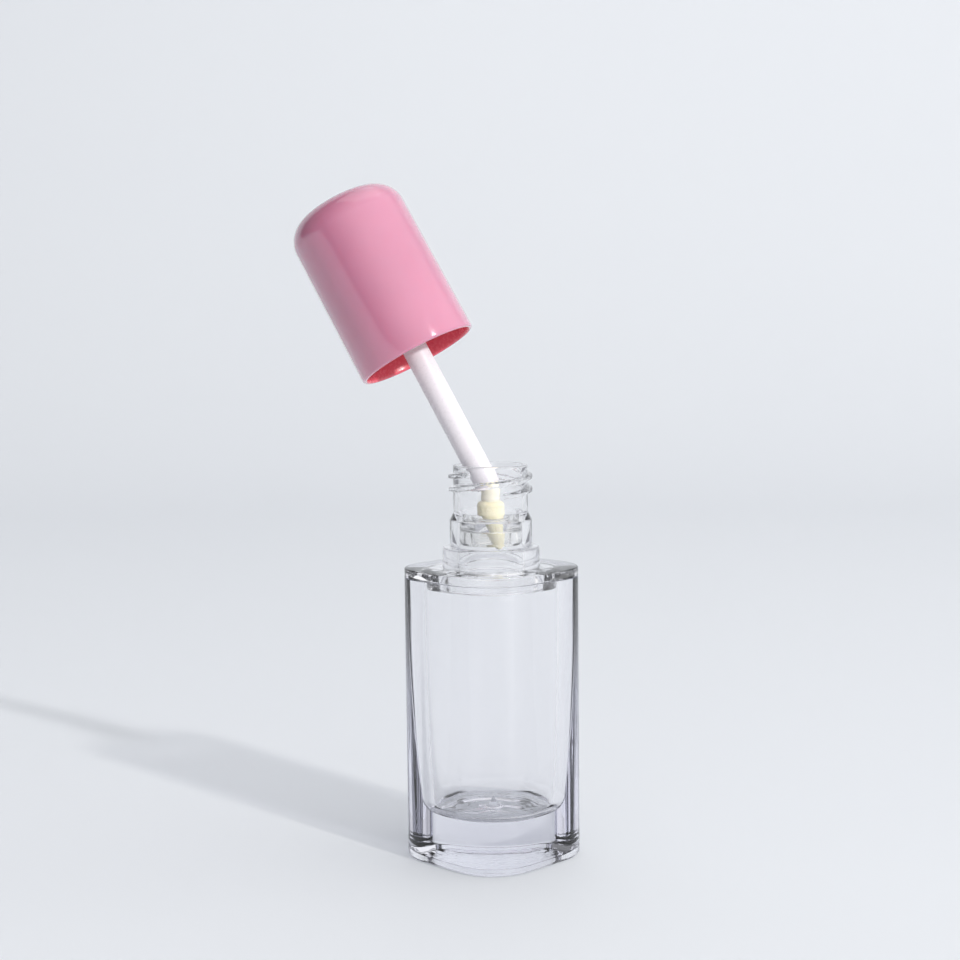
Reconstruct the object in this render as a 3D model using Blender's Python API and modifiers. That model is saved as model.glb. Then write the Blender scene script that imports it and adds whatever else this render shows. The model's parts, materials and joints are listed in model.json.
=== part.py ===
"""Lip gloss tube: a thick clear bottle, square with round corners, its wand stood in the neck at a lean.

Metres, +Z up. The origin is the centre of the bottle's base, and -Y is its front. The square's corners
point along X and Y, so the bottle stands with one corner to the front.
"""

import math

import bmesh
import bpy
from mathutils import Matrix, Vector

MM = 0.001

# bottle body: half the side of its square, and the radius of the square's corners
SIDE = 11.8 * MM
CORNER = 7.7 * MM
BODY_TOP = 43.6 * MM
FLOOR_Z = 7.4 * MM
FOOT_EDGE_R = 0.7 * MM
FOOT_GROOVE = ((9.3 * MM, 5.9 * MM), (8.6 * MM, 5.4 * MM))
FOOT_GROOVE_DEPTH = 0.8 * MM
GATE_NUB_R = 0.9 * MM
GATE_NUB_H = 1.6 * MM
# the cavity's own square, rounder than the outside, at each height from the floor up
FLOOR = (6.9 * MM, 5.6 * MM)
CAVITY = (
    (8.5 * MM, 6.5 * MM, 9.6 * MM),
    (9.0 * MM, 6.8 * MM, 12.7 * MM),
    (9.45 * MM, 6.9 * MM, 17.9 * MM),
    (9.7 * MM, 6.9 * MM, 25.9 * MM),
    (10.0 * MM, 6.9 * MM, BODY_TOP),
)

# neck insert: top plate, spigot, collar, ring, threaded neck
PLATE_Z = (43.9 * MM, 45.3 * MM)
SPIGOT = (9.6 * MM, 6.6 * MM)
SPIGOT_Z = 42.1 * MM
COLLAR_R = 7.6 * MM
COLLAR_STEP_Z = 46.4 * MM
COLLAR_TOP = 48.5 * MM
RING_R = 6.35 * MM
RING_TOP = 52.7 * MM
NECK_R = 5.75 * MM
NECK_FOOT = 53.8 * MM
NECK_TOP = 61.15 * MM
NECK_BORE_R = 5.0 * MM

# two-start thread on the neck and in the cap
THREAD_OUT_R = 6.5 * MM
THREAD_LEAD = 4.0 * MM
THREAD_START_Z = 56.3 * MM
THREAD_TURNS = 0.85
THREAD_WIDTH = 0.85 * MM

# wiper plug, low in the neck
WIPER_Z = (48.8 * MM, 52.5 * MM)
WIPER_OUT_R = 4.85 * MM
WIPER_HOLE_R = 2.5 * MM
WIPER_MOUTH_R = 3.6 * MM

# the wand: it bends at the flexible core, on the neck's axis
BEND_Z = 57.0 * MM
LEAN = math.radians(28.8)
LEAN_TOWARDS = math.radians(162.6)

# applicator tip, upright in the wiper
TIP_TOP = 55.5 * MM
TIP_END = 47.7 * MM
TIP_R = 2.1 * MM

# the rest is measured along the wand, from the bend
CORE_BALL_R = 1.2 * MM
CORE_R = 1.25 * MM
CORE_END = 5.6 * MM
STEM_R = 2.0 * MM
STEM_FOOT = 0.6 * MM
STEM_TOP = 48.6 * MM
STEM_BORE_R = 1.33 * MM
STEM_BORE_END = 6.4 * MM
CAP_EDGE = 23.87 * MM
CAP_LENGTH = 27.5 * MM
CAP_R = 9.58 * MM
CAP_TOP_R = 9.43 * MM
CAP_CORNER_R = 4.3 * MM
CAP_CROWN = 0.45 * MM
CAP_WALL = 0.8 * MM
CAP_TOP_WALL = 1.3 * MM
LINER_R = 8.45 * MM
LINER_BORE_R = 6.8 * MM
LINER_FOOT = CAP_EDGE + 9.0 * MM
LINER_CEILING = CAP_EDGE + 16.65 * MM
LINER_ROOF = CAP_EDGE + 18.2 * MM
BOSS_R = 3.4 * MM
BOSS_BORE_R = 2.15 * MM
BOSS_TOP = CAP_EDGE + 25.0 * MM
GASKET_Z = (CAP_EDGE + 15.55 * MM, CAP_EDGE + 16.4 * MM)
GASKET_R = (2.3 * MM, 6.4 * MM)
LINER_THREAD_IN_R = 6.05 * MM
LINER_THREAD_START = LINER_FOOT + 0.9 * MM


def clear_scene():
    for obj in list(bpy.data.objects):
        bpy.data.objects.remove(obj, do_unlink=True)


def new_collection(name):
    group = bpy.data.collections.new(name)
    bpy.context.scene.collection.children.link(group)
    return group


def make_material(name, colour, roughness, metallic=0.0, alpha=1.0, transmission=0.0):
    mat = bpy.data.materials.new(name)
    mat.use_nodes = True
    shader = mat.node_tree.nodes["Principled BSDF"]
    shader.inputs["Base Color"].default_value = (*colour, 1.0)
    shader.inputs["Roughness"].default_value = roughness
    shader.inputs["Metallic"].default_value = metallic
    shader.inputs["Alpha"].default_value = alpha
    shader.inputs["Transmission Weight"].default_value = transmission
    mat.diffuse_color = (*colour, alpha)
    return mat


def arc(cx, cz, r, start, end, count):
    """Points on an arc in the profile plane, angles in degrees from +X towards +Z."""
    points = []
    for i in range(count + 1):
        a = math.radians(start + (end - start) * i / count)
        points.append((cx + r * math.cos(a), cz + r * math.sin(a)))
    return points


def turned(name, group, profile, steps, material, closed=False, parent=None):
    """A turned solid: a profile in the XZ plane, outer side top to bottom, with a Screw modifier."""
    mesh = bpy.data.meshes.new(name)
    verts = [(x, 0.0, z) for x, z in profile]
    edges = [(i, i + 1) for i in range(len(verts) - 1)]
    if closed:
        edges.append((len(verts) - 1, 0))
    mesh.from_pydata(verts, edges, [])
    obj = bpy.data.objects.new(name, mesh)
    group.objects.link(obj)
    screw = obj.modifiers.new("Turn", "SCREW")
    screw.axis = "Z"
    screw.angle = 2 * math.pi
    screw.steps = steps
    screw.render_steps = steps
    screw.use_merge_vertices = True
    screw.merge_threshold = 0.000001
    screw.use_smooth_shade = True
    mesh.materials.append(material)
    if parent:
        obj.parent = parent
    return obj


def helix_ridge(name, group, profile, start_z, start_angle, lead, turns, steps_per_turn):
    """A thread ridge: a closed profile swept up a helix by a Screw modifier, with its two ends filled."""
    mesh = bpy.data.meshes.new(name + "_profile")
    verts = [(x, 0.0, z) for x, z in profile]
    edges = [(i, (i + 1) % len(verts)) for i in range(len(verts))]
    mesh.from_pydata(verts, edges, [])
    guide = bpy.data.objects.new(name + "_guide", mesh)
    group.objects.link(guide)
    screw = guide.modifiers.new("Sweep", "SCREW")
    screw.axis = "Z"
    screw.angle = 2 * math.pi * turns
    screw.screw_offset = lead * turns
    steps = max(3, round(steps_per_turn * turns))
    screw.steps = steps
    screw.render_steps = steps
    screw.use_merge_vertices = False
    bpy.context.view_layer.update()
    swept = bpy.data.meshes.new_from_object(
        guide.evaluated_get(bpy.context.evaluated_depsgraph_get())
    )
    bpy.data.objects.remove(guide, do_unlink=True)
    bm = bmesh.new()
    bm.from_mesh(swept)
    bmesh.ops.remove_doubles(bm, verts=bm.verts, dist=0.0000005)
    open_edges = [e for e in bm.edges if e.is_boundary]
    bmesh.ops.holes_fill(bm, edges=open_edges, sides=len(profile))
    bmesh.ops.recalc_face_normals(bm, faces=bm.faces)
    bm.to_mesh(swept)
    bm.free()
    swept.transform(Matrix.Translation((0, 0, start_z)) @ Matrix.Rotation(start_angle, 4, "Z"))
    obj = bpy.data.objects.new(name, swept)
    group.objects.link(obj)
    obj.hide_render = True
    obj.display_type = "WIRE"
    return obj


def join_shape(target, tool):
    mod = target.modifiers.new("Join " + tool.name, "BOOLEAN")
    mod.operation = "UNION"
    mod.solver = "EXACT"
    mod.object = tool


def square_reach(side, corner, angle):
    """How far a round-cornered square reaches at an angle from the middle of one of its sides."""
    a = (angle + math.pi / 4) % (math.pi / 2) - math.pi / 4
    x, y = math.cos(a), abs(math.sin(a))
    flat = side - corner
    if side * y <= flat * x:
        return side / x
    along = flat * (x + y)
    return along + math.sqrt(max(0.0, along * along - 2 * flat * flat + corner * corner))


def section_angles(side, corner):
    """Angles round a section, closer together on its four corners."""
    turn = math.atan2(side - corner, side)
    flats, corners = 8, 8
    quarter = [-turn + 2 * turn * i / flats for i in range(flats)]
    quarter += [turn + (math.pi / 2 - 2 * turn) * i / corners for i in range(corners)]
    return [a + math.pi / 2 * k for k in range(4) for a in quarter]


def lofted(name, group, sections, material, closed=False):
    """A loft through round-cornered squares: each section is (half side, corner radius, height).

    A section whose corner radius is its half side is a circle, and one of no size is a point. The
    squares' corners point along X and Y.
    """
    angles = section_angles(SIDE, CORNER)
    bm = bmesh.new()
    rings = []
    for side, corner, z in sections:
        if side <= 0.0:
            rings.append([bm.verts.new((0.0, 0.0, z))])
            continue
        ring = []
        for angle in angles:
            reach = square_reach(side, min(corner, side), angle)
            ring.append(
                bm.verts.new(
                    (
                        reach * math.cos(angle + math.pi / 4),
                        reach * math.sin(angle + math.pi / 4),
                        z,
                    )
                )
            )
        rings.append(ring)
    pairs = list(zip(rings, rings[1:]))
    if closed:
        pairs.append((rings[-1], rings[0]))
    count = len(angles)
    for low, high in pairs:
        for i in range(count):
            k = (i + 1) % count
            if len(low) == 1:
                bm.faces.new((low[0], high[k], high[i]))
            elif len(high) == 1:
                bm.faces.new((low[i], low[k], high[0]))
            else:
                bm.faces.new((low[i], low[k], high[k], high[i]))
    bmesh.ops.triangulate(bm, faces=bm.faces)
    bmesh.ops.recalc_face_normals(bm, faces=bm.faces)
    mesh = bpy.data.meshes.new(name)
    bm.to_mesh(mesh)
    bm.free()
    mesh.shade_smooth()
    mesh.set_sharp_from_angle(angle=math.radians(35))
    mesh.materials.append(material)
    obj = bpy.data.objects.new(name, mesh)
    group.objects.link(obj)
    return obj


def inset(shape, by):
    """The same square with its outline moved in, so the corners' radius shrinks with it."""
    side, corner = shape
    return (side - by, corner - by)


def outside_sections():
    """The body's outer side from its rim down, then in across the base and its groove."""
    square = (SIDE, CORNER)
    edge = 0.15 * MM
    sections = [(*inset(square, edge), BODY_TOP), (*square, BODY_TOP - edge)]
    for x, z in arc(0.0, FOOT_EDGE_R, FOOT_EDGE_R, 0, -90, 3):
        sections.append((*inset(square, FOOT_EDGE_R - x), z))
    outer, inner = FOOT_GROOVE
    sections += [
        (*outer, 0.0),
        (*inset(outer, edge), FOOT_GROOVE_DEPTH),
        (*inset(inner, -edge), FOOT_GROOVE_DEPTH),
        (*inner, 0.0),
        (0.0, 0.0, 0.0),
    ]
    return sections


def cavity_sections():
    """The cavity from its floor's centre, where the gate left a nub, up to the rim."""
    sections = [(0.0, 0.0, FLOOR_Z + GATE_NUB_H)]
    for i in range(1, 5):
        t = i / 4
        r = GATE_NUB_R * 1.6 * t
        sections.append((r, r, FLOOR_Z + GATE_NUB_H * (1 - t) ** 2.2))
    side, corner, height = CAVITY[0]
    for i in range(5):
        a = math.radians(90 * i / 5)
        sections.append(
            (
                FLOOR[0] + (side - FLOOR[0]) * math.sin(a),
                FLOOR[1] + (corner - FLOOR[1]) * math.sin(a),
                height - (height - FLOOR_Z) * math.cos(a),
            )
        )
    sections += list(CAVITY)
    return sections


def neck_sections():
    """Closed loop: the outer side top to bottom, round then square at the plate, then up the bore."""

    def circle(r, z):
        return (r, r, z)

    sections = [circle(NECK_BORE_R + 0.25 * MM, NECK_TOP), circle(NECK_R - 0.2 * MM, NECK_TOP)]
    sections += [circle(NECK_R, NECK_TOP - 0.2 * MM), circle(NECK_R, NECK_FOOT)]
    sections += [circle(RING_R, RING_TOP), circle(RING_R, COLLAR_TOP)]
    sections += [circle(COLLAR_R - 0.35 * MM, COLLAR_TOP)]
    sections += [circle(COLLAR_R - 0.1 * MM, COLLAR_TOP - 0.25 * MM)]
    sections += [circle(COLLAR_R - 0.1 * MM, COLLAR_STEP_Z)]
    sections += [circle(COLLAR_R, COLLAR_STEP_Z - 0.1 * MM), circle(COLLAR_R, PLATE_Z[1])]
    square = (SIDE, CORNER)
    sections += [(*inset(square, 0.25 * MM), PLATE_Z[1]), (*square, PLATE_Z[1] - 0.25 * MM)]
    sections += [(*square, PLATE_Z[0] + 0.15 * MM), (*inset(square, 0.15 * MM), PLATE_Z[0])]
    sections += [(*SPIGOT, PLATE_Z[0]), (*inset(SPIGOT, 0.1 * MM), SPIGOT_Z)]
    sections += [circle(NECK_BORE_R, SPIGOT_Z), circle(NECK_BORE_R, NECK_TOP - 0.25 * MM)]
    return sections


def thread_profile(root_r, crest_r, width):
    """A trapezoid: wide at the root, narrow at the crest."""
    half = width / 2
    crest = half * 0.45
    return [(root_r, half), (crest_r, crest), (crest_r, -crest), (root_r, -half)]


def wiper_profile():
    """Closed loop of the wiper: a plug with a funnel mouth and a thin wiping lip."""
    low, high = WIPER_Z
    return [
        (WIPER_MOUTH_R + 0.1 * MM, high),
        (WIPER_OUT_R - 0.1 * MM, high),
        (WIPER_OUT_R, high - 0.1 * MM),
        (WIPER_OUT_R, low + 0.5 * MM),
        (WIPER_OUT_R - 0.3 * MM, low),
        (WIPER_OUT_R - 0.8 * MM, low),
        (WIPER_OUT_R - 0.95 * MM, low + 2.2 * MM),
        (WIPER_HOLE_R + 0.75 * MM, low + 2.2 * MM),
        (WIPER_HOLE_R + 0.4 * MM, low),
        (WIPER_HOLE_R, low),
        (WIPER_HOLE_R, low + 0.4 * MM),
        (WIPER_MOUTH_R, high - 0.1 * MM),
    ]


def core_profile():
    points = [(0.0, CORE_END), (CORE_R - 0.2 * MM, CORE_END), (CORE_R, CORE_END - 0.2 * MM)]
    points += [(CORE_R, STEM_FOOT + 0.5 * MM), (CORE_BALL_R, STEM_FOOT - 0.1 * MM)]
    points += arc(0.0, 0.0, CORE_BALL_R, 0, -90, 4)
    points[-1] = (0.0, -CORE_BALL_R)
    return points


def stem_profile():
    """Outer side top to bottom, then up the blind bore that holds the core."""
    points = [(0.0, STEM_TOP), (STEM_R - 0.2 * MM, STEM_TOP), (STEM_R, STEM_TOP - 0.2 * MM)]
    points += [(STEM_R, STEM_FOOT + 0.3 * MM), (STEM_R - 0.15 * MM, STEM_FOOT + 0.06 * MM)]
    points += [(STEM_R - 0.35 * MM, STEM_FOOT), (STEM_BORE_R, STEM_FOOT)]
    points += [(STEM_BORE_R, STEM_BORE_END), (0.0, STEM_BORE_END)]
    return points


def cap_profile():
    """Outer side of the cap's shell from the crown to the edge, then up its inside."""
    top = CAP_EDGE + CAP_LENGTH
    corner_z = top - CAP_CROWN - CAP_CORNER_R
    flat_r = CAP_TOP_R - CAP_CORNER_R
    points = [(0.0, top), (flat_r * 0.6, top - CAP_CROWN * 0.3)]
    points += arc(flat_r, corner_z, CAP_CORNER_R, 84, 0, 7)
    points += [(CAP_R, CAP_EDGE + 0.3 * MM)]
    points += [(CAP_R - 0.2 * MM, CAP_EDGE), (CAP_R - CAP_WALL + 0.2 * MM, CAP_EDGE)]
    points += [(CAP_R - CAP_WALL, CAP_EDGE + 0.3 * MM)]
    inner_corner = CAP_CORNER_R - CAP_WALL
    inside = arc(flat_r, corner_z, inner_corner, 0, 84, 4)
    points += inside
    points += [(0.0, top - CAP_TOP_WALL)]
    return points


def liner_profile():
    """Closed loop of the inner cap: a threaded cup with a boss that holds the stem."""
    return [
        (BOSS_BORE_R, BOSS_TOP),
        (BOSS_R - 0.2 * MM, BOSS_TOP),
        (BOSS_R, BOSS_TOP - 0.2 * MM),
        (BOSS_R, LINER_ROOF),
        (LINER_R - 0.3 * MM, LINER_ROOF),
        (LINER_R, LINER_ROOF - 0.3 * MM),
        (LINER_R, LINER_FOOT + 0.2 * MM),
        (LINER_R - 0.2 * MM, LINER_FOOT),
        (LINER_BORE_R + 0.3 * MM, LINER_FOOT),
        (LINER_BORE_R, LINER_FOOT + 0.3 * MM),
        (LINER_BORE_R, LINER_CEILING),
        (BOSS_BORE_R, LINER_CEILING),
    ]


def gasket_profile():
    low, high = GASKET_Z
    inner, outer = GASKET_R
    edge = 0.12 * MM
    return [
        (inner, high),
        (outer - edge, high),
        (outer, high - edge),
        (outer, low + edge),
        (outer - edge, low),
        (inner, low),
    ]


def smooth_step(t):
    t = min(max(t, 0.0), 1.0)
    return t * t * (3 - 2 * t)


def flocked_tip(name, group, material):
    """A doe-foot tip: a round pad whose one side is cut away on a slant, down to a soft point."""
    mesh = bpy.data.meshes.new(name)
    bm = bmesh.new()
    bmesh.ops.create_uvsphere(bm, u_segments=24, v_segments=16, radius=1.0)
    length = TIP_TOP - TIP_END
    for v in bm.verts:
        x, y, z = v.co
        # s runs from 0 at the end to 1 at the root
        s = (1 + z) / 2
        ring = math.sqrt(max(0.0, 1 - z * z))
        if ring > 1e-6:
            cx, cy = x / ring, y / ring
        else:
            cx = cy = 0.0
        end_round = min(1.0, math.sqrt(max(0.0, 1 - (1 - min(s / 0.09, 1.0)) ** 2)))
        root_round = min(1.0, math.sqrt(max(0.0, 1 - (1 - min((1 - s) / 0.10, 1.0)) ** 2)))
        right = TIP_R * (0.80 + 0.20 * smooth_step(s / 0.35))
        left = -TIP_R * (0.87 * s - 0.25)
        half = (right - left) / 2
        middle = (right + left) / 2
        wide = TIP_R * (0.34 + 0.66 * smooth_step(s / 0.6))
        shrink = end_round * (0.45 + 0.55 * root_round if s > 0.5 else 1.0)
        if ring <= 1e-6:
            shrink = 0.0
        centre = middle * smooth_step((1 - s) / 0.35)
        v.co = Vector(
            (centre + half * shrink * cx, wide * shrink * cy, TIP_END + length * s)
        )
    bmesh.ops.recalc_face_normals(bm, faces=bm.faces)
    bm.to_mesh(mesh)
    bm.free()
    mesh.shade_smooth()
    mesh.materials.append(material)
    obj = bpy.data.objects.new(name, mesh)
    group.objects.link(obj)
    return obj


def main():
    clear_scene()
    parts = new_collection("lip_gloss_tube")
    tools = new_collection("tools")

    clear = make_material("clear_body", (0.93, 0.93, 0.96), 0.04, 0.0, 0.35, 0.9)
    clear_neck = make_material("clear_neck", (0.95, 0.95, 0.97), 0.05, 0.0, 0.35, 0.9)
    natural = make_material("natural_wiper", (0.90, 0.90, 0.90), 0.25, 0.0, 0.5, 0.5)
    flock = make_material("cream_flock", (0.83, 0.77, 0.55), 0.95)
    soft = make_material("soft_core", (0.90, 0.86, 0.72), 0.5)
    white = make_material("white_stem", (0.90, 0.89, 0.91), 0.3)
    pink = make_material("pink_shell", (0.78, 0.34, 0.49), 0.15)
    liner = make_material("white_liner", (0.88, 0.86, 0.87), 0.35)
    foam = make_material("foam_gasket", (0.85, 0.85, 0.84), 0.8)

    # bottle body and what is fixed in it
    lofted("bottle_body", parts, cavity_sections() + outside_sections(), clear)
    neck = lofted("neck_insert", parts, neck_sections(), clear_neck, closed=True)
    profile = thread_profile(NECK_R - 0.3 * MM, THREAD_OUT_R, THREAD_WIDTH)
    for i in range(2):
        ridge = helix_ridge(
            f"neck_ridge_{i}", tools, profile, THREAD_START_Z,
            math.radians(205) + math.pi * i, THREAD_LEAD, THREAD_TURNS, 24,
        )
        join_shape(neck, ridge)
    turned("wiper", parts, wiper_profile(), 40, natural, closed=True)

    # the tip stands upright in the wiper
    flocked_tip("flocked_tip", parts, flock)

    # the wand leans at the flexible core
    lean = bpy.data.objects.new("wand_axis", None)
    parts.objects.link(lean)
    direction = Vector(
        (
            math.sin(LEAN) * math.cos(LEAN_TOWARDS),
            math.sin(LEAN) * math.sin(LEAN_TOWARDS),
            math.cos(LEAN),
        )
    )
    lean.location = (0.0, 0.0, BEND_Z)
    lean.rotation_mode = "QUATERNION"
    lean.rotation_quaternion = Vector((0, 0, 1)).rotation_difference(direction)

    turned("tip_core", parts, core_profile(), 24, soft, parent=lean)
    turned("wand_stem", parts, stem_profile(), 32, white, parent=lean)
    turned("outer_cap", parts, cap_profile(), 48, pink, parent=lean)
    inner = turned("inner_cap", parts, liner_profile(), 48, liner, closed=True, parent=lean)
    profile = thread_profile(LINER_BORE_R + 0.3 * MM, LINER_THREAD_IN_R, THREAD_WIDTH)
    for i in range(2):
        ridge = helix_ridge(
            f"cap_ridge_{i}", tools, profile, LINER_THREAD_START,
            math.radians(20) + math.pi * i, THREAD_LEAD, 0.9, 24,
        )
        ridge.parent = lean
        join_shape(inner, ridge)
    turned("cap_gasket", parts, gasket_profile(), 40, foam, closed=True, parent=lean)
    bpy.context.view_layer.update()


main()
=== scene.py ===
import json
import math
import random

import bmesh
import bpy
import numpy as np
from mathutils import Matrix, Vector, noise


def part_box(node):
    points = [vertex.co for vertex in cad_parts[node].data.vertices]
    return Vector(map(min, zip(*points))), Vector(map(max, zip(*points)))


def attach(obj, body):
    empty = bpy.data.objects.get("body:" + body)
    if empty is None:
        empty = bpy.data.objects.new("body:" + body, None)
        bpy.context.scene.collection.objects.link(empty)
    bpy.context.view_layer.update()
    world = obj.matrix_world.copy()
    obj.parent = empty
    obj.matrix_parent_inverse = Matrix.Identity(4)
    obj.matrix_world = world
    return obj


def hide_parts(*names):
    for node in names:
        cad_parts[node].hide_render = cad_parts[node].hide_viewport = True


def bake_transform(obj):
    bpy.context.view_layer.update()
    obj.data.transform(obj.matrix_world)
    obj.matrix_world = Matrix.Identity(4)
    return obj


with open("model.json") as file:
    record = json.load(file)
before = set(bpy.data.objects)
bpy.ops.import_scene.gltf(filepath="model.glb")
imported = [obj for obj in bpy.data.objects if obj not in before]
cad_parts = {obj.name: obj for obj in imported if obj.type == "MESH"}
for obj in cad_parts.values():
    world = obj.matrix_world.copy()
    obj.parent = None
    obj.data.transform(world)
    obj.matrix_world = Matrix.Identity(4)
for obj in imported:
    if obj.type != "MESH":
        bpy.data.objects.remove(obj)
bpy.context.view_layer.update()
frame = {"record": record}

MM = 0.001
TAU = 2 * math.pi

# ---------------------------------------------------------------- places from the frame
joints = {j["name"]: j for j in frame["record"]["behaviour"]["joints"]}
BEND = Vector(joints["wand_lean"]["pos_m"])
WAND = Vector(joints["cap_turn"]["axis"]).normalized()
TO_WAND = Matrix.Translation(BEND) @ Vector((0, 0, 1)).rotation_difference(WAND).to_matrix().to_4x4()


# ---------------------------------------------------------------- mesh helpers
def rounded(corners, steps=5):
    """A polyline with its corners turned into arcs. Each corner is (x, z) or (x, z, radius), in mm."""
    out = []
    n = len(corners)
    for i, c in enumerate(corners):
        p = Vector((c[0], c[1]))
        r = c[2] if len(c) > 2 else 0.0
        if r <= 0 or i in (0, n - 1):
            out.append((p.x, p.y))
            continue
        a = Vector(corners[i - 1][:2]) - p
        b = Vector(corners[(i + 1) % n][:2]) - p
        la, lb = a.length, b.length
        a.normalize()
        b.normalize()
        turn = math.pi - a.angle(b)
        if turn < 1e-3:
            out.append((p.x, p.y))
            continue
        t = min(r * math.tan(turn / 2), 0.48 * la, 0.48 * lb)
        r = t / math.tan(turn / 2)
        centre = p + (a + b).normalized() * (r / math.cos(turn / 2))
        start, end = p + a * t, p + b * t
        a0 = math.atan2(start.y - centre.y, start.x - centre.x)
        a1 = math.atan2(end.y - centre.y, end.x - centre.x)
        sweep = (a1 - a0 + math.pi) % TAU - math.pi
        for k in range(steps + 1):
            ang = a0 + sweep * k / steps
            out.append((centre.x + r * math.cos(ang), centre.y + r * math.sin(ang)))
    return out


def closed_rounded(corners, steps=4):
    """The same for a closed loop."""
    n = len(corners)
    ring = rounded([corners[-1]] + list(corners) + [corners[0]], steps)
    return ring[1:-1] if n > 2 else ring


def refine(profile, z_low, z_high, step, where=None):
    """Adds points along the profile's straight runs between two heights, for detail that rises from them."""
    out = [profile[0]]
    for p, q in zip(profile, profile[1:]):
        length = math.hypot(q[0] - p[0], q[1] - p[1])
        inside = min(p[1], q[1]) < z_high and max(p[1], q[1]) > z_low
        if inside and length > step and (where is None or where(p, q)):
            k = int(math.ceil(length / step))
            for i in range(1, k):
                out.append((p[0] + (q[0] - p[0]) * i / k, p[1] + (q[1] - p[1]) * i / k))
        out.append(q)
    return out


def square_reach(side, corner, angle):
    """How far a round-cornered square reaches at an angle; its corners point along X and Y."""
    a = angle % (math.pi / 2) - math.pi / 4
    x, y = math.cos(a), abs(math.sin(a))
    corner = min(corner, side)
    flat = side - corner
    if side * y <= flat * x:
        return side / x
    along = flat * (x + y)
    return along + math.sqrt(max(0.0, along * along - 2 * flat * flat + corner * corner))


def soft_reach(side, corner, angle, spread=0.12):
    """The same outline with its curvature eased, as a moulded wall has it."""
    weights = (1, 3, 5, 6, 5, 3, 1)
    total = sum(
        w * square_reach(side, corner, angle + spread * (i - 3) / 3) for i, w in enumerate(weights)
    )
    return total / sum(weights)


def even_angles(segments):
    return [TAU * k / segments for k in range(segments)]


def square_angles(side, corner, flats, corners):
    """Angles round a round-cornered square, closer together on its corners."""
    turn = math.atan2(side - corner, side)
    quarter = [-turn + 2 * turn * i / flats for i in range(flats)]
    quarter += [turn + (math.pi / 2 - 2 * turn) * i / corners for i in range(corners)]
    return [a + math.pi / 4 + math.pi / 2 * k for k in range(4) for a in quarter]


def lathe(name, profile, segments=128, closed=False, shift=None, matrix=None, corner=None, angles=None):
    """A turned solid from a profile in mm. shift(x, z, angle) gives an (dx, dz) move of each point.

    With corner(x, z), the sections are round-cornered squares of half side x and that corner radius.
    """
    bm = bmesh.new()
    rings = []
    angles = angles or even_angles(segments)
    segments = len(angles)
    for x, z in profile:
        if x < 1e-6:
            rings.append([bm.verts.new((0, 0, z * MM))])
            continue
        ring = []
        for a in angles:
            dx, dz = shift(x, z, a) if shift else (0.0, 0.0)
            reach = soft_reach(x, corner(x, z), a) if corner else x
            ring.append(
                bm.verts.new(
                    ((reach + dx) * math.cos(a) * MM, (reach + dx) * math.sin(a) * MM, (z + dz) * MM)
                )
            )
        rings.append(ring)
    pairs = list(zip(rings, rings[1:]))
    if closed:
        pairs.append((rings[-1], rings[0]))
    for p, q in pairs:
        if len(p) == 1 and len(q) == 1:
            continue
        for k in range(segments):
            m = (k + 1) % segments
            if len(p) == 1:
                bm.faces.new((p[0], q[m], q[k]))
            elif len(q) == 1:
                bm.faces.new((p[k], p[m], q[0]))
            else:
                bm.faces.new((p[k], p[m], q[m], q[k]))
    bmesh.ops.recalc_face_normals(bm, faces=bm.faces)
    return finish_mesh(name, bm, matrix)


def finish_mesh(name, bm, matrix=None, angle=40):
    mesh = bpy.data.meshes.new(name)
    bm.to_mesh(mesh)
    bm.free()
    if matrix is not None:
        mesh.transform(matrix)
    mesh.shade_smooth()
    mesh.set_sharp_from_angle(angle=math.radians(angle))
    obj = bpy.data.objects.new(name, mesh)
    bpy.context.scene.collection.objects.link(obj)
    return obj


def smooth(t):
    t = min(max(t, 0.0), 1.0)
    return t * t * (3 - 2 * t)


def thread(start_z, start_angle, lead, turns, height, width, on, inward=False):
    """shift() for a two-start thread: ridges that rise out of the wall and fade in and out at their ends."""
    fade = math.radians(26)

    def shift(x, z, a):
        if not on(x, z):
            return 0.0, 0.0
        best = 0.0
        for s in range(2):
            first = start_angle + math.pi * s
            for wrap in range(-1, 3):
                t = a - first + TAU * wrap
                if 0 <= t <= TAU * turns:
                    d = abs(z - (start_z + lead * t / TAU))
                    rise = smooth((width / 2 - d) / (width * 0.30))
                    ends = smooth(t / fade) * smooth((TAU * turns - t) / fade)
                    best = max(best, rise * ends)
        return (-height * best if inward else height * best), 0.0

    return shift


# ---------------------------------------------------------------- materials
def material(name):
    mat = bpy.data.materials.new(name)
    mat.use_nodes = True
    nodes, links = mat.node_tree.nodes, mat.node_tree.links
    return mat, nodes, links, nodes["Principled BSDF"]


def coords(nodes, links, scale=(1, 1, 1)):
    tc = nodes.new("ShaderNodeTexCoord")
    mp = nodes.new("ShaderNodeMapping")
    mp.inputs["Scale"].default_value = scale
    links.new(tc.outputs["Object"], mp.inputs["Vector"])
    return mp.outputs["Vector"]


def noise_node(nodes, links, vector, scale, detail=3.0, rough=0.5):
    n = nodes.new("ShaderNodeTexNoise")
    n.inputs["Scale"].default_value = scale
    n.inputs["Detail"].default_value = detail
    n.inputs["Roughness"].default_value = rough
    links.new(vector, n.inputs["Vector"])
    return n.outputs["Fac"]


def ramp(nodes, links, value, low, high, a, b):
    """value between low and high becomes a number between a and b."""
    m = nodes.new("ShaderNodeMapRange")
    m.inputs["From Min"].default_value = low
    m.inputs["From Max"].default_value = high
    m.inputs["To Min"].default_value = a
    m.inputs["To Max"].default_value = b
    links.new(value, m.inputs["Value"])
    return m.outputs["Result"]


def colour_mix(nodes, links, fac, a, b):
    m = nodes.new("ShaderNodeMix")
    m.data_type = "RGBA"
    m.inputs["A"].default_value = (*a, 1)
    m.inputs["B"].default_value = (*b, 1)
    links.new(fac, m.inputs["Factor"])
    return m.outputs["Result"]


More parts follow.
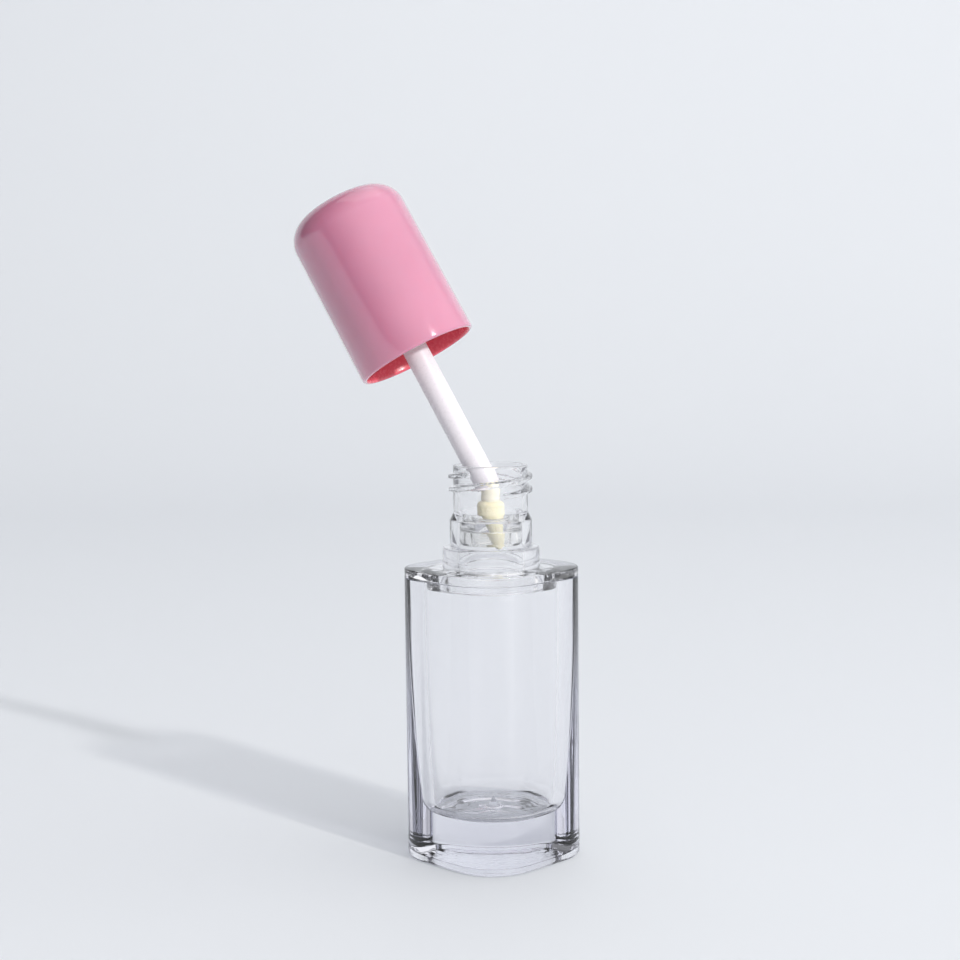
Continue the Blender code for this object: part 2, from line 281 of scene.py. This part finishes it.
def bump(nodes, links, height, strength, distance, shader):
    b = nodes.new("ShaderNodeBump")
    b.inputs["Strength"].default_value = strength
    b.inputs["Distance"].default_value = distance
    links.new(height, b.inputs["Height"])
    links.new(b.outputs["Normal"], shader.inputs["Normal"])
    return b


def clear_plastic(name, tint, density, absorb, scuffs=0.05, flow=0.010, through=(0.74, 0.745, 0.755)):
    """Thick clear moulded plastic: faint flow lines, a few handling scuffs, a slight tint in the deep parts."""
    mat, nodes, links, sh = material(name)
    sh.inputs["Transmission Weight"].default_value = 1.0
    sh.inputs["IOR"].default_value = 1.56
    v = coords(nodes, links, (1, 1, 0.22))
    big = noise_node(nodes, links, v, 260, 2.0)
    fine = noise_node(nodes, links, coords(nodes, links), 2400, 4.0, 0.7)
    links.new(ramp(nodes, links, fine, 0.66, 0.80, 0.004, scuffs), sh.inputs["Roughness"])
    links.new(colour_mix(nodes, links, big, tint, (1.0, 1.0, 1.0)), sh.inputs["Base Color"])
    bump(nodes, links, big, flow, 0.00015, sh)
    # lamps and scattered light pass through to what is behind the plastic
    path = nodes.new("ShaderNodeLightPath")
    either = nodes.new("ShaderNodeMath")
    either.operation = "MAXIMUM"
    links.new(path.outputs["Is Shadow Ray"], either.inputs[0])
    links.new(path.outputs["Is Diffuse Ray"], either.inputs[1])
    clear = nodes.new("ShaderNodeBsdfTransparent")
    clear.inputs["Color"].default_value = (*through, 1)
    mix = nodes.new("ShaderNodeMixShader")
    links.new(either.outputs["Value"], mix.inputs["Fac"])
    links.new(sh.outputs["BSDF"], mix.inputs[1])
    links.new(clear.outputs["BSDF"], mix.inputs[2])
    links.new(mix.outputs["Shader"], nodes["Material Output"].inputs["Surface"])
    vol = nodes.new("ShaderNodeVolumeAbsorption")
    vol.inputs["Color"].default_value = (*absorb, 1)
    vol.inputs["Density"].default_value = density
    links.new(vol.outputs["Volume"], nodes["Material Output"].inputs["Volume"])
    return mat


def opaque_plastic(name, base, deep, rough, coat=0.0, sss=0.0, radius=(0.001, 0.0006, 0.0006), peel=0.02, spec=0.5):
    """Moulded plastic: slow colour drift, orange peel, fine rubbing in the gloss."""
    mat, nodes, links, sh = material(name)
    v = coords(nodes, links)
    drift = noise_node(nodes, links, v, 90, 2.0)
    fine = noise_node(nodes, links, v, 1900, 4.0, 0.65)
    peel_h = noise_node(nodes, links, v, 700, 2.0)
    links.new(colour_mix(nodes, links, ramp(nodes, links, drift, 0.3, 0.7, 0, 1), base, deep), sh.inputs["Base Color"])
    links.new(ramp(nodes, links, fine, 0.35, 0.75, rough * 0.75, rough * 1.5), sh.inputs["Roughness"])
    sh.inputs["Specular IOR Level"].default_value = spec
    sh.inputs["Coat Weight"].default_value = coat
    sh.inputs["Coat Roughness"].default_value = 0.03
    sh.inputs["Coat IOR"].default_value = 1.6
    if sss:
        sh.inputs["Subsurface Weight"].default_value = sss
        sh.inputs["Subsurface Radius"].default_value = radius
        sh.inputs["Subsurface Scale"].default_value = 1.0
    bump(nodes, links, peel_h, peel, 0.0001, sh)
    return mat


def flock_material():
    mat, nodes, links, sh = material("cream_flock")
    v = coords(nodes, links)
    fibre = nodes.new("ShaderNodeTexVoronoi")
    fibre.inputs["Scale"].default_value = 5200
    links.new(v, fibre.inputs["Vector"])
    cloud = noise_node(nodes, links, v, 700, 3.0)
    links.new(
        colour_mix(nodes, links, ramp(nodes, links, cloud, 0.3, 0.7, 0, 1), (0.86, 0.79, 0.54), (0.91, 0.85, 0.64)),
        sh.inputs["Base Color"],
    )
    sh.inputs["Roughness"].default_value = 0.95
    sh.inputs["Specular IOR Level"].default_value = 0.15
    sh.inputs["Sheen Weight"].default_value = 0.6
    sh.inputs["Sheen Roughness"].default_value = 0.5
    sh.inputs["Subsurface Weight"].default_value = 0.35
    sh.inputs["Subsurface Radius"].default_value = (0.0009, 0.0008, 0.0005)
    sh.inputs["Subsurface Scale"].default_value = 1.0
    bump(nodes, links, fibre.outputs["Distance"], 0.6, 0.00008, sh)
    return mat


def foam_material():
    mat, nodes, links, sh = material("foam_disc")
    v = coords(nodes, links)
    cells = nodes.new("ShaderNodeTexVoronoi")
    cells.inputs["Scale"].default_value = 3800
    links.new(v, cells.inputs["Vector"])
    links.new(colour_mix(nodes, links, cells.outputs["Distance"], (0.80, 0.80, 0.79), (0.90, 0.90, 0.89)), sh.inputs["Base Color"])
    sh.inputs["Roughness"].default_value = 0.8
    bump(nodes, links, cells.outputs["Distance"], 0.4, 0.0001, sh)
    return mat


BODY_CLEAR = clear_plastic("clear_body", (0.995, 0.995, 1.0), 22.0, (0.72, 0.72, 0.83))
NECK_CLEAR = clear_plastic("clear_neck", (0.995, 0.995, 1.0), 6.0, (0.74, 0.73, 0.84), 0.06, through=(0.93, 0.93, 0.935))
WIPER = clear_plastic("natural_wiper", (0.98, 0.98, 0.97), 30.0, (0.87, 0.87, 0.83), 0.12, 0.03, through=(0.95, 0.95, 0.94))
PINK = opaque_plastic("pink_shell", (0.54, 0.185, 0.295), (0.57, 0.20, 0.315), 0.09, coat=1.0, sss=0.3, radius=(0.0022, 0.0006, 0.0007), spec=1.0)
# the same pink plastic in a deeper red copy for the inside faces: painted shade and red bounce light
PINK_INSIDE_PAINTED_BOUNCE = opaque_plastic("pink_shell_inside_painted_bounce", (0.72, 0.10, 0.14), (0.76, 0.12, 0.16), 0.25, sss=0.3, radius=(0.0022, 0.0006, 0.0007))
WHITE = opaque_plastic("white_stem", (0.74, 0.70, 0.74), (0.77, 0.735, 0.77), 0.30, sss=0.15, radius=(0.0012, 0.0011, 0.0011), peel=0.05)
LINER = opaque_plastic("white_liner", (0.86, 0.82, 0.84), (0.90, 0.88, 0.89), 0.38, peel=0.05)
CORE = opaque_plastic("soft_core", (0.84, 0.79, 0.66), (0.87, 0.83, 0.71), 0.45, sss=0.3, radius=(0.0010, 0.0009, 0.0007), peel=0.05)
FLOCK = flock_material()
FOAM = foam_material()


def dress(obj, mat, body, node):
    obj.data.materials.clear()
    obj.data.materials.append(mat)
    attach(obj, body)
    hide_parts(node)
    return obj


# ---------------------------------------------------------------- bottle body
SIDE, CORNER = 11.8, 7.7
BODY_TOP = 43.88
FLOOR = 7.4
ANGLES = square_angles(SIDE, CORNER, 12, 28)

# the cavity's half side and corner radius up its wall
WALL_Z = np.array([9.6, 12.7, 17.9, 25.9, 43.6])
WALL_SIDE = np.array([8.1, 8.4, 8.7, 8.95, 9.2])
WALL_CORNER = np.array([6.3, 6.5, 6.6, 6.6, 6.6])


def eased(zs, vs, z):
    """A smooth curve through the values at the heights."""
    k = int(min(max(np.searchsorted(zs, z, side="right") - 1, 0), len(zs) - 2))
    slope = np.gradient(vs, zs)
    h = zs[k + 1] - zs[k]
    t = min(max((z - zs[k]) / h, 0.0), 1.0)
    return float(
        (2 * t**3 - 3 * t**2 + 1) * vs[k]
        + (t**3 - 2 * t**2 + t) * h * slope[k]
        + (-2 * t**3 + 3 * t**2) * vs[k + 1]
        + (t**3 - t**2) * h * slope[k + 1]
    )


def cavity():
    """Floor centre with its gate nub, the corner, and the drafted wall, up to the rim."""
    nub_h, nub_r = 1.6, 0.9
    pts = [(0.0, FLOOR + nub_h)]
    for i in range(1, 13):
        t = i / 12
        pts.append((nub_r * 1.6 * t, FLOOR + nub_h * (1 - t) ** 2.2))
    pts.append((3.0, FLOOR))
    pts.append((5.0, FLOOR))
    for i in range(13):
        a = math.radians(90 * i / 12)
        pts.append((6.5 + 1.6 * math.sin(a), 9.6 - 2.2 * math.cos(a)))
    for i in range(1, 41):
        z = 9.6 + (BODY_TOP - 9.6) * (i / 40) ** 1.3
        pts.append((eased(WALL_Z, WALL_SIDE, z), z))
    return pts


def body_corner(x, z):
    """The corner radius that goes with a half side, inside the cavity and outside it."""
    if x < 1.5:
        return x
    if z > FLOOR - 0.01 and x < 9.35:
        if z < 9.6:
            return float(np.interp(x, [1.5, 3.0, 5.0, 6.5, 8.1], [1.5, 2.7, 4.3, 5.4, 6.3]))
        return eased(WALL_Z, WALL_CORNER, z)
    return float(np.interp(x, [0.0, 8.6, 9.3, 9.5, 11.1, 11.8], [0.0, 5.4, 5.9, 6.0, 7.0, 7.7]))


outer = rounded(
    [
        (9.5, BODY_TOP),
        (SIDE, BODY_TOP, 0.12),
        (SIDE, 0.0, 0.7),
        (9.3, 0.0, 0.12),
        (9.15, 0.8, 0.15),
        (8.75, 0.8, 0.15),
        (8.6, 0.0, 0.12),
        (0.0, 0.0),
    ],
    6,
)
outer = refine(outer, -0.1, 0.02, 0.3, lambda p, q: p[0] < 8.55 and q[0] < 8.55)


def underside(x, z, a):
    """The base is hollowed a little, and rippled where the plastic shrank as it cooled."""
    if z > 0.01 or x > 8.45:
        return 0.0, 0.0
    p = Vector((x * math.cos(a), x * math.sin(a), 0.0))
    rim = smooth((8.45 - x) / 0.8)
    ripple = noise.noise(p * 0.55) + 0.5 * noise.noise(p * 1.3)
    return 0.0, rim * (0.16 + 0.13 * ripple)


bottle = lathe("bottle_glass", cavity() + outer, shift=underside, corner=body_corner, angles=ANGLES)
dress(bottle, BODY_CLEAR, "bottle", "bottle_body")

# ---------------------------------------------------------------- neck insert with its two-start thread
loop = closed_rounded(
    [
        (5.0, 61.15, 0.2),
        (5.75, 61.15, 0.25),
        (5.75, 53.8, 0.5),
        (6.35, 52.7, 0.5),
        (6.35, 48.5, 0.15),
        (7.5, 48.5, 0.3),
        (7.5, 46.4, 0.08),
        (7.6, 46.3, 0.05),
        (7.6, 45.3, 0.18),
        (SIDE, 45.3, 0.25),
        (SIDE, 43.9, 0.12),
        (8.85, 43.9, 0.1),
        (8.75, 42.1, 0.2),
        (5.0, 42.1, 0.15),
    ],
    4,
)
on_neck = lambda x, z: x > 5.6 and 54.5 < z < 61.05
loop = refine(loop + [loop[0]], 54.3, 61.0, 0.09, lambda p, q: 5.7 < p[0] < 5.8 and 5.7 < q[0] < 5.8)[:-1]


def neck_corner(x, z):
    """Round up to the collar, then the bottle's own square in the plate and the spigot."""
    if x <= 7.7:
        return x
    if z < 43.85:
        return float(np.interp(x, [7.7, 8.85], [6.4, 6.3]))
    return float(np.interp(x, [7.7, 8.85, 11.55, 11.8], [7.0, 6.4, 7.45, 7.7]))


neck = lathe(
    "neck_glass", loop, closed=True, shift=thread(56.5, math.radians(103.5), 4.0, 0.875, 0.74, 1.05, on_neck),
    corner=neck_corner, angles=ANGLES,
)
dress(neck, NECK_CLEAR, "bottle", "neck_insert")

# ---------------------------------------------------------------- wiper
loop = closed_rounded(
    [
        (3.7, 52.5, 0.08),
        (4.85, 52.5, 0.12),
        (4.85, 49.25, 0.15),
        (4.55, 48.8, 0.1),
        (4.05, 48.8, 0.1),
        (3.9, 51, 0.2),
        (3.25, 51, 0.2),
        (2.9, 48.8, 0.1),
        (2.5, 48.8, 0.1),
        (2.5, 49.2, 0.3),
        (3.6, 52.4, 0.1),
    ],
    4,
)
wiper = lathe("wiper_plug", loop, 112, True)
dress(wiper, WIPER, "bottle", "wiper")

# ---------------------------------------------------------------- flocked tip
TIP_LO, TIP_HI = (c[2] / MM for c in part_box("flocked_tip"))
TIP_R = 2.1


def tip_point(s, a):
    """A point of the doe-foot pad: s from 0 at the end to 1 at the root, a is the angle round it."""
    end_round = math.sqrt(max(0.0, 1 - (1 - min(s / 0.09, 1.0)) ** 2))
    root_round = math.sqrt(max(0.0, 1 - (1 - min((1 - s) / 0.10, 1.0)) ** 2))
    right = TIP_R * (0.92 + 0.13 * smooth(s / 0.35))
    left = -TIP_R * (1.25 * smooth(s / 0.7) - 0.25)
    half, middle = (right - left) / 2, (right + left) / 2
    wide = TIP_R * (0.34 + 0.66 * smooth(s / 0.6))
    shrink = end_round * (0.45 + 0.55 * root_round if s > 0.5 else 1.0)
    centre = middle * smooth((1 - s) / 0.35)
    return (
        centre + half * shrink * math.cos(a),
        wide * shrink * math.sin(a),
        TIP_LO + (TIP_HI - TIP_LO) * s,
    )


def flocked_tip():
    """The pad, with its surface roughened like short flock."""
    bm = bmesh.new()
    rows, segments = 90, 96
    rings = []
    for i in range(rows + 1):
        s = 0.5 - 0.5 * math.cos(math.pi * i / rows)
        if i in (0, rows):
            x, y, z = tip_point(min(max(s, 1e-9), 1), 0)
            if i == rows:
                ring = [bm.verts.new((c * MM) for c in tip_point(1.0, TAU * k / segments)) for k in range(segments)]
                rings.append(ring)
            else:
                x, y, z = tip_point(1e-9, 0)
                rings.append([bm.verts.new((x * MM, y * MM, z * MM))])
            continue
        ring = []
        for k in range(segments):
            a = TAU * k / segments
            p = Vector(tip_point(s, a))
            q = p * 4.2
            d = 0.045 * noise.noise(q) + 0.03 * noise.noise(q * 3.1) - 0.05
            out = Vector((math.cos(a), math.sin(a), 0))
            p += out * d
            ring.append(bm.verts.new(p * MM))
        rings.append(ring)
    for p, q in zip(rings, rings[1:]):
        for k in range(segments):
            m = (k + 1) % segments
            if len(p) == 1:
                bm.faces.new((p[0], q[k], q[m]))
            else:
                bm.faces.new((p[k], p[m], q[m], q[k]))
    bm.faces.new(rings[-1])
    bmesh.ops.recalc_face_normals(bm, faces=bm.faces)
    return finish_mesh("flocked_pad", bm, angle=60)


tip = flocked_tip()
dress(tip, FLOCK, "tip", "flocked_tip")

# ---------------------------------------------------------------- flexible core: built with a fixed bend between the tip and the stem
core_upright = rounded(
    [(0.0, 5.6), (1.2, 5.6, 0.2), (1.22, 0.75, 0.2), (1.55, 0.5, 0.15), (1.5, 0.0, 0.3), (1.45, -0.6, 0.3), (1.5, -1.2, 0.2), (1.4, -1.75, 0.2), (0.0, -1.8)],
    4,
)
core_upright = refine(core_upright, -1.8, 5.6, 0.2)
core = lathe("core_flex", core_upright, 48)


def bent(z):
    """The core's centre line at rest: upright below the bend and leaning above it."""
    return smooth((z + 0.9) / 1.8)


for v in core.data.vertices:
    p = v.co.copy()
    w = bent(p.z / MM)
    turn = Vector((0, 0, 1)).rotation_difference(WAND)
    part = turn.copy()
    part = type(turn)((1, 0, 0, 0)).slerp(turn, w)
    v.co = BEND + part @ p
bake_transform(core)
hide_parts("tip_core")
core.data.materials.append(CORE)

# ---------------------------------------------------------------- stem
stem_profile = rounded(
    [
        (0.0, 48.6),
        (2.0, 48.6, 0.3),
        (2.0, 40.0, 0.1),
        (2.0, 1.0, 0.1),
        (1.86, 0.62, 0.12),
        (1.33, 0.6, 0.06),
        (1.33, 6.4, 0.2),
        (0.0, 6.4),
    ],
    4,
)
stem_profile = refine(stem_profile, 1.0, 48.3, 2.0, lambda p, q: p[0] > 1.8 and q[0] > 1.8)
seam_angle = math.radians(35)


def parting(x, z, a):
    """Two faint parting lines of the mould, along the stem."""
    if x < 1.8:
        return 0.0, 0.0
    d = min(abs((a - s + math.pi) % TAU - math.pi) for s in (seam_angle, seam_angle + math.pi))
    return -0.012 + 0.012 * smooth(1 - d / math.radians(5)), 0.0


stem = lathe("stem_shaft", stem_profile, 96, False, parting, TO_WAND)
dress(stem, WHITE, "wand", "wand_stem")

# ---------------------------------------------------------------- cap shell
EDGE, TOP = 23.87, 51.37
CAP_CORNER, CROWN, WALL = 4.3, 0.45, 0.8


def shell():
    corner_z = TOP - CROWN - CAP_CORNER
    flat_r = 9.43 - CAP_CORNER
    pts = []
    for i in range(13):
        t = i / 12
        pts.append((flat_r * 1.07 * t, TOP - CROWN * (t**2) * 0.98))
    for i in range(1, 21):
        a = math.radians(84 - 84 * i / 20)
        pts.append((flat_r + CAP_CORNER * math.cos(a), corner_z + CAP_CORNER * math.sin(a)))
    for i in range(1, 9):
        t = i / 8
        pts.append((9.43 + 0.15 * t, corner_z + (EDGE + 0.45 - corner_z) * t))
    for i in range(1, 9):
        a = math.radians(-180 * i / 8)
        pts.append((9.58 - WALL / 2 + WALL / 2 * math.cos(a), EDGE + 0.4 + 0.4 * math.sin(a)))
    for i in range(1, 9):
        t = i / 8
        pts.append((9.58 - WALL - 0.15 * t, EDGE + 0.45 + (corner_z - EDGE - 0.45) * t))
    inner = CAP_CORNER - WALL
    for i in range(1, 15):
        a = math.radians(84 * i / 14)
        pts.append((flat_r + inner * math.cos(a), corner_z + inner * math.sin(a)))
    pts.append((2.5, TOP - 1.22))
    pts.append((0.0, TOP - 1.25))
    return pts


cap = lathe("cap_shell", shell(), 192, matrix=TO_WAND)
dress(cap, PINK, "wand", "outer_cap")
# the inner faces of the shell take the deeper red copy: painted shade and red bounce light inside the cap
cap.data.materials.append(PINK_INSIDE_PAINTED_BOUNCE)
to_cap = TO_WAND.inverted()
for face in cap.data.polygons:
    p = to_cap @ face.center / MM
    n = to_cap.to_3x3() @ face.normal
    if math.hypot(p.x, p.y) < 9.58 - 0.6 * WALL and p.z < TOP - CROWN - WALL and n.x * p.x + n.y * p.y < 0.01:
        face.material_index = 1

# ---------------------------------------------------------------- inner cap, with the thread that takes the neck's
loop = closed_rounded(
    [
        (2.15, 48.87, 0.1),
        (3.4, 48.87, 0.25),
        (3.4, 42.07, 0.5),
        (8.45, 42.07, 0.35),
        (8.45, 32.87, 0.25),
        (6.8, 32.87, 0.3),
        (6.8, 40.52, 0.3),
        (2.15, 40.52, 0.15),
    ],
    4,
)
on_liner = lambda x, z: 6.6 < x < 6.95 and 33.2 < z < 40.2
loop = refine(loop + [loop[0]], 33.2, 40.3, 0.11, lambda p, q: 6.6 < p[0] < 6.95 and 6.6 < q[0] < 6.95)[:-1]
liner = lathe(
    "cap_liner", loop, 128, True,
    thread(33.77, math.radians(20), 4.0, 0.9, 0.72, 1.05, on_liner, inward=True), TO_WAND,
)
dress(liner, LINER, "wand", "inner_cap")

# ---------------------------------------------------------------- gasket
loop = closed_rounded(
    [(2.3, 40.27, 0.12), (6.4, 40.27, 0.15), (6.4, 39.42, 0.15), (2.3, 39.42, 0.12)], 4
)
loop = refine(loop + [loop[0]], 39.3, 40.4, 0.5)[:-1]


def dented(x, z, a):
    """The ring that the neck's rim presses into the foam."""
    if z < 39.7 and 4.9 < x < 5.9:
        return 0.0, 0.08 * smooth(1 - abs(x - 5.4) / 0.5)
    return 0.0, 0.0


gasket = lathe("foam_washer", loop, 96, True, dented, TO_WAND)
dress(gasket, FOAM, "wand", "cap_gasket")

# ---------------------------------------------------------------- floor, light, camera
def floor_material():
    mat, nodes, links, sh = material("pale_sweep")
    v = coords(nodes, links)
    drift = noise_node(nodes, links, v, 4.0, 2.0)
    grain = noise_node(nodes, links, v, 900, 3.0)
    links.new(colour_mix(nodes, links, drift, (0.775, 0.795, 0.83), (0.79, 0.81, 0.84)), sh.inputs["Base Color"])
    sh.inputs["Roughness"].default_value = 0.6
    sh.inputs["Specular IOR Level"].default_value = 0.25
    bump(nodes, links, grain, 0.02, 0.0001, sh)
    return mat


def sweep():
    """A seamless paper sweep: floor, a wide curve, and a wall well behind the bottle."""
    bm = bmesh.new()
    pts = [(-1.6, 0.0)]
    radius, back = 0.5, 1.0
    pts.append((back - radius, 0.0))
    for i in range(1, 25):
        a = math.radians(-90 + 90 * i / 24)
        pts.append((back - radius + radius * math.cos(a), radius + radius * math.sin(a)))
    pts.append((back, 2.0))
    left = [bm.verts.new((-1.8, y, z)) for y, z in pts]
    right = [bm.verts.new((1.8, y, z)) for y, z in pts]
    for i in range(len(pts) - 1):
        bm.faces.new((left[i], right[i], right[i + 1], left[i + 1]))
    bmesh.ops.recalc_face_normals(bm, faces=bm.faces)
    obj = finish_mesh("paper_sweep", bm)
    obj.data.materials.append(floor_material())
    return obj


floor = sweep()


def area(name, place, target, size, power, colour, spread=180):
    data = bpy.data.lights.new(name, "AREA")
    data.shape = "RECTANGLE"
    data.size, data.size_y = size
    data.energy = power
    data.color = colour
    data.spread = math.radians(spread)
    obj = bpy.data.objects.new(name, data)
    obj.location = place
    obj.rotation_mode = "QUATERNION"
    obj.rotation_quaternion = (Vector(target) - Vector(place)).to_track_quat("-Z", "Y")
    bpy.context.scene.collection.objects.link(obj)
    return obj


def from_direction(azimuth, elevation, distance):
    """A place seen from the bottle: azimuth 0 is straight to the front, 90 to the right."""
    a, e = math.radians(azimuth), math.radians(elevation)
    return (distance * math.sin(a) * math.cos(e), -distance * math.cos(a) * math.cos(e), distance * math.sin(e))


area("key", from_direction(42, 26, 1.5), (0, 0, 0.04), (0.07, 0.07), 14.5, (1.0, 0.99, 0.975))
area("top_soft", (0.1, 0.1, 1.3), (0, 0, 0.05), (1.2, 1.2), 2.0, (0.99, 0.995, 1.0))

world = bpy.data.worlds.new("studio")
bpy.context.scene.world = world
world.use_nodes = True
wn, wl = world.node_tree.nodes, world.node_tree.links
back = wn["Background"]
tc = wn.new("ShaderNodeTexCoord")
# brighter towards the front right, as from a wide window
lean = wn.new("ShaderNodeVectorMath")
lean.operation = "DOT_PRODUCT"
wl.new(tc.outputs["Generated"], lean.inputs[0])
lean.inputs[1].default_value = (0.90, -0.40, 0.17)
side = wn.new("ShaderNodeMapRange")
side.interpolation_type = "SMOOTHSTEP"
side.inputs["From Min"].default_value = -0.55
side.inputs["From Max"].default_value = 0.95
side.inputs["To Min"].default_value = 0.19
side.inputs["To Max"].default_value = 1.32
wl.new(lean.outputs["Value"], side.inputs["Value"])
wl.new(side.outputs["Result"], back.inputs["Strength"])
back.inputs["Color"].default_value = (0.80, 0.805, 0.815, 1)


def dark_refraction_card(name, side, near, far, colour):
    """A dark card on the floor near the bottle, seen only bent through the clear plastic: it paints dark bands into
    the refraction.
    """
    bm = bmesh.new()
    cells = 24
    grid = []
    for i in range(cells + 1):
        a = math.radians(12 + 118 * i / cells)
        grid.append(
            [
                bm.verts.new(
                    (
                        side * math.sin(a) * (near + (far - near) * k / 4),
                        math.cos(a) * (near + (far - near) * k / 4),
                        0.0006,
                    )
                )
                for k in range(5)
            ]
        )
    for i in range(cells):
        for k in range(4):
            bm.faces.new((grid[i][k], grid[i + 1][k], grid[i + 1][k + 1], grid[i][k + 1]))
    bmesh.ops.recalc_face_normals(bm, faces=bm.faces)
    obj = finish_mesh(name, bm)
    mat, nodes, links, sh = material(name)
    drift = noise_node(nodes, links, coords(nodes, links), 40, 3.0)
    links.new(colour_mix(nodes, links, drift, colour, tuple(c * 1.3 for c in colour)), sh.inputs["Base Color"])
    sh.inputs["Roughness"].default_value = 0.7
    obj.data.materials.append(mat)
    # hidden from all rays but refraction, so it only paints dark bands into the clear plastic
    obj.visible_camera = False
    obj.visible_diffuse = False
    obj.visible_glossy = False
    obj.visible_shadow = False


# dark cards to the left and right: painted dark bands seen through the clear plastic
for sign, where in ((-1, "left"), (1, "right")):
    dark_refraction_card(f"dark_refraction_card_{where}", sign, 0.186, 0.232, (0.11, 0.11, 0.13))

# the camera stands 276 mm in front of the bottle, 84 mm up, looking slightly down
cam_data = bpy.data.cameras.new("camera")
cam_data.sensor_width = 36
cam_data.lens = 67.3
cam = bpy.data.objects.new("camera", cam_data)
bpy.context.scene.collection.objects.link(cam)
cam.location = (-0.0016, -0.276, 0.0836)
cam.rotation_mode = "QUATERNION"
PITCH, ROLL = math.radians(-5.15), math.radians(-0.6)
cam.rotation_quaternion = (
    Matrix.Rotation(math.radians(90) + PITCH, 4, "X") @ Matrix.Rotation(ROLL, 4, "Z")
).to_quaternion()
cam_data.clip_start, cam_data.clip_end = 0.01, 20
bpy.context.scene.camera = cam

scene = bpy.context.scene
scene.view_settings.view_transform = "Standard"
scene.cycles.max_bounces = 24
scene.cycles.transmission_bounces = 20
scene.cycles.glossy_bounces = 8
scene.cycles.transparent_max_bounces = 16
